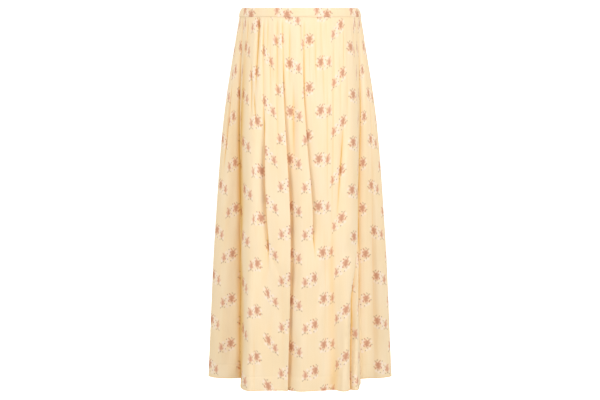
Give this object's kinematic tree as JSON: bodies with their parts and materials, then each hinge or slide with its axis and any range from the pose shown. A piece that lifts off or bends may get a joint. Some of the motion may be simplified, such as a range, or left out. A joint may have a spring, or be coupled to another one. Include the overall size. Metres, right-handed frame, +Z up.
{
  "type": "pleated midi skirt",
  "caption": "Long cotton midi skirt gathered into a narrow waistband, hanging in soft uneven pleats, cream with a small scattered rose-sprig print",
  "frame": {"origin": "middle of the waist opening, halfway up the waistband, where the wearer holds the skirt up", "axes": "+Z up along the wearer's body, from the hem to the waist; the front faces -Y; +X is on the right of somebody who faces the skirt"},
  "size_m": [0.395, 0.2711, 0.787],
  "materials": {
    "waistband_front": "matt printed cotton, cream with small rose sprigs, topstitched",
    "waistband_back": "matt printed cotton, cream with small rose sprigs, gathered on elastic",
    "front_panel": "matt printed cotton lawn, cream with small rose sprigs",
    "back_panel": "matt printed cotton lawn, cream with small rose sprigs"
  },
  "bodies": {
    "root": {"waistband_front": "waistband_front", "waistband_back": "waistband_back", "front_panel": "front_panel", "back_panel": "back_panel"}
  },
  "joints": []
}
